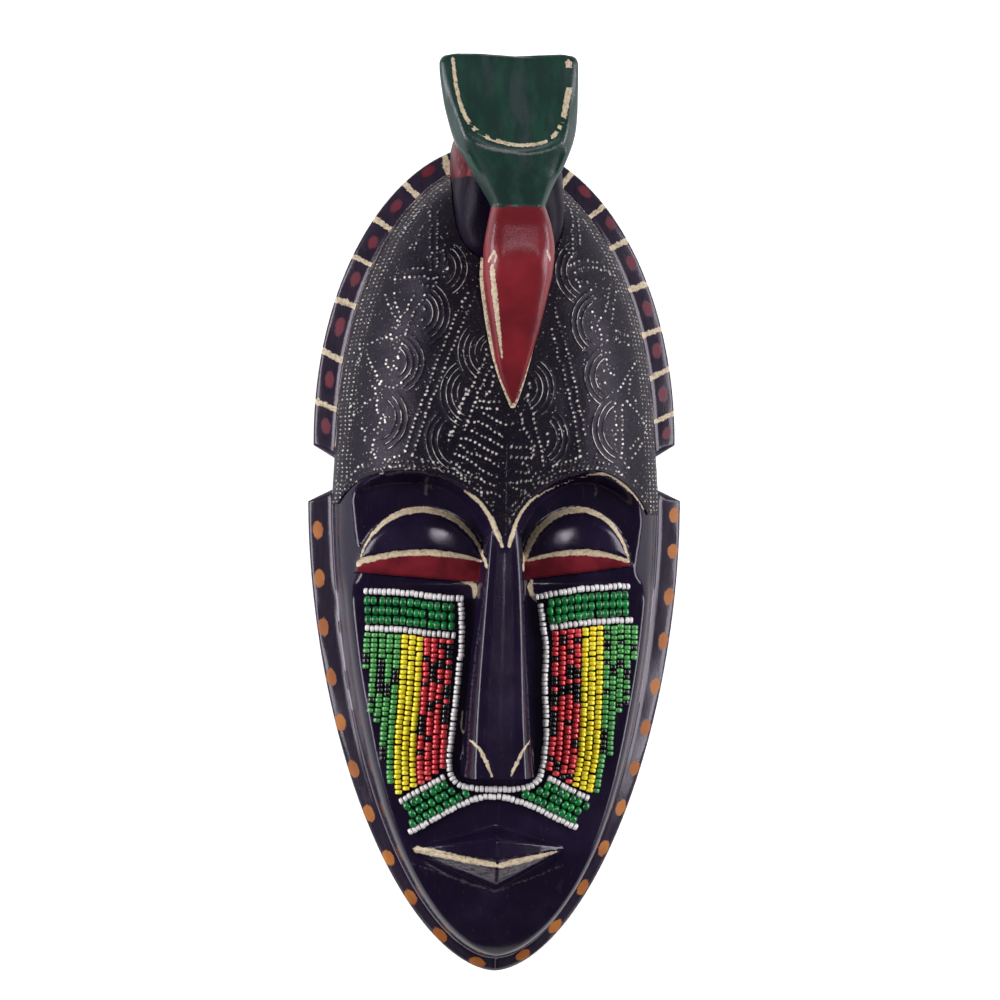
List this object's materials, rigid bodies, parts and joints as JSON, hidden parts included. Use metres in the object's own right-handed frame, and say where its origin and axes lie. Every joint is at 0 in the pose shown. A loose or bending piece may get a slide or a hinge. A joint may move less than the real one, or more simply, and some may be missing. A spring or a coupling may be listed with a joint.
{
  "type": "carved wooden mask",
  "caption": "Carved wooden wall mask with closed eyes, a parrot over the crown, an embossed metal sheet on the forehead and glass bead strings on the cheeks.",
  "frame": {"origin": "under the middle of the bounding box, on the plane that the mask's back rim lies on", "axes": "+Z out of the face, +Y from the chin to the crown, +X to the viewer's right"},
  "size_m": [0.1734, 0.415, 0.107],
  "materials": {
    "carved_wood": "near-black paint, semi-gloss, with red, green, ochre and cream paint",
    "dark_sheet": "embossed and blackened, rubbed bright on the raised dots",
    "white_beads": "opaque white glass, glossy",
    "green_beads": "green glass, glossy",
    "yellow_beads": "opaque yellow glass, glossy",
    "red_beads": "opaque red and black glass, glossy"
  },
  "bodies": {
    "root": {"carved_wood": "carved_wood", "forehead_sheet": "dark_sheet", "left_top_white": "white_beads", "left_row_1": "green_beads", "left_row_2": "green_beads", "left_row_3": "green_beads", "left_low_white": "white_beads", "left_column_1": "green_beads", "left_column_2": "green_beads", "left_column_3": "green_beads", "left_column_4": "green_beads", "left_column_5": "green_beads", "left_column_6": "yellow_beads", "left_column_7": "yellow_beads", "left_column_8": "yellow_beads", "left_column_9": "red_beads", "left_column_10": "red_beads", "left_column_11": "red_beads", "left_column_12": "red_beads", "left_band_white": "white_beads", "left_band_row_1": "green_beads", "left_band_row_2": "green_beads", "left_band_row_3": "green_beads", "right_top_white": "white_beads", "right_row_1": "green_beads", "right_row_2": "green_beads", "right_row_3": "green_beads", "right_low_white": "white_beads", "right_column_1": "red_beads", "right_column_2": "red_beads", "right_column_3": "red_beads", "right_column_4": "red_beads", "right_column_5": "yellow_beads", "right_column_6": "yellow_beads", "right_column_7": "yellow_beads", "right_column_8": "green_beads", "right_column_9": "green_beads", "right_column_10": "green_beads", "right_column_11": "green_beads", "right_column_12": "green_beads", "right_band_white": "white_beads", "right_band_row_1": "green_beads", "right_band_row_2": "green_beads", "right_band_row_3": "green_beads", "nose_string": "white_beads", "lip_string": "white_beads"}
  },
  "joints": []
}
